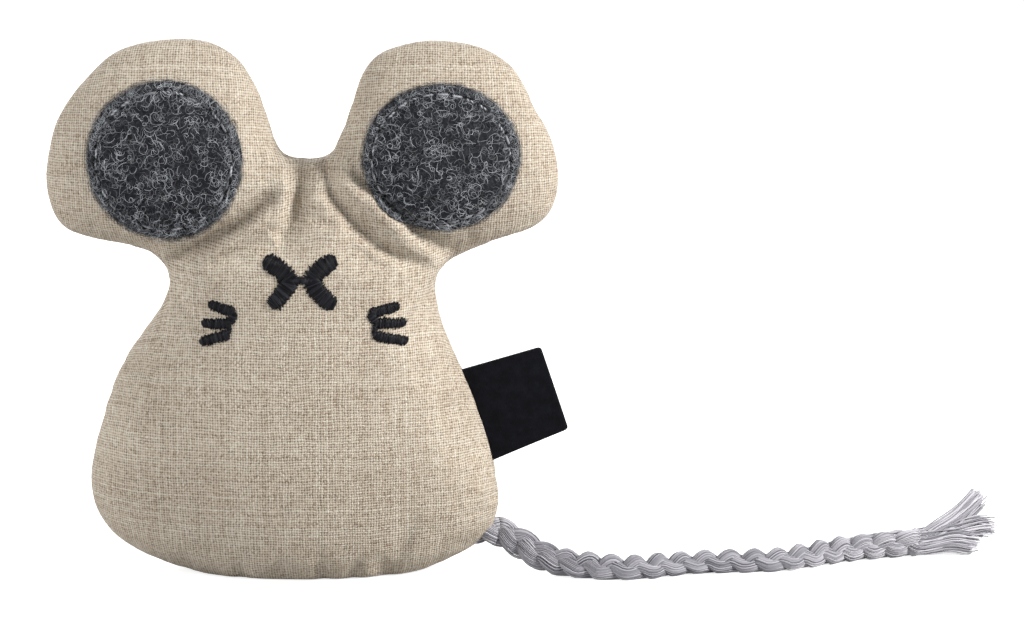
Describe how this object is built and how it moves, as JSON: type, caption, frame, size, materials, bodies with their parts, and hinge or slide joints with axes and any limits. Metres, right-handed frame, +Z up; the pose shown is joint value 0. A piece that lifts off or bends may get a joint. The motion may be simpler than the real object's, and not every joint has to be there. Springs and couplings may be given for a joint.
{
  "type": "catnip mouse toy",
  "caption": "Stuffed linen cat toy shaped as a sitting mouse, with bendable felt-lined ears, an embroidered face, a folded side label and a plaited cotton tail.",
  "frame": {"origin": "middle of the underside of the box round the stuffed toy without its tail, on the surface it stands on", "axes": "+X to the viewer's right when the face is seen, +Y to the back, +Z up"},
  "size_m": [0.2413, 0.0538, 0.1346],
  "materials": {
    "linen": "undyed plain-woven linen with slubs",
    "filling": "white fibre filling",
    "catnip": "pouch of dried catnip leaf",
    "felt": "dark grey mottled wool felt",
    "stitching_thread": "grey sewing thread",
    "embroidery_thread": "black satin-stitch embroidery thread",
    "label_tape": "black woven satin tape, plain",
    "tail_cotton": "grey plaited cotton yarn"
  },
  "bodies": {
    "body": {"body_front_panel": "linen", "body_back_panel": "linen", "body_filling_front": "filling", "body_filling_back": "filling", "catnip_pouch": "catnip", "tail_anchor": "tail_cotton", "nose_left_stroke": "embroidery_thread", "nose_right_stroke": "embroidery_thread", "whisker_left_upper": "embroidery_thread", "whisker_left_middle": "embroidery_thread", "whisker_left_lower": "embroidery_thread", "whisker_right_upper": "embroidery_thread", "whisker_right_middle": "embroidery_thread", "whisker_right_lower": "embroidery_thread"},
    "left_ear": {"left_ear_front_panel": "linen", "left_ear_back_panel": "linen", "left_ear_filling": "filling", "left_ear_felt": "felt", "left_ear_felt_stitching": "stitching_thread"},
    "right_ear": {"right_ear_front_panel": "linen", "right_ear_back_panel": "linen", "right_ear_filling": "filling", "right_ear_felt": "felt", "right_ear_felt_stitching": "stitching_thread"},
    "label": {"side_label": "label_tape"},
    "tail": {"tail_plait": "tail_cotton", "tail_tuft": "tail_cotton"}
  },
  "joints": [
    {"name": "left_ear_bend", "type": "hinge", "parent": "body", "child": "left_ear", "pos_m": [-0.02034, 0, 0.0903], "axis": [0.7252, 0, 0.6886], "range_deg": [-25, 25], "stiffness_Nm_per_rad": 0.012},
    {"name": "right_ear_bend", "type": "hinge", "parent": "body", "child": "right_ear", "pos_m": [0.01636, 0, 0.0903], "axis": [0.7252, 0, -0.6886], "range_deg": [-25, 25], "stiffness_Nm_per_rad": 0.012},
    {"name": "label_flap", "type": "hinge", "parent": "body", "child": "label", "pos_m": [0.04517, 0, 0.04008], "axis": [-0.3088, 0, 0.9511], "range_deg": [-70, 70], "stiffness_Nm_per_rad": 0.0001},
    {"name": "tail_swing", "type": "hinge", "parent": "body", "child": "tail", "pos_m": [0.0468, 0, 0.00935], "axis": [0, 0, 1], "range_deg": [-60, 60]}
  ]
}
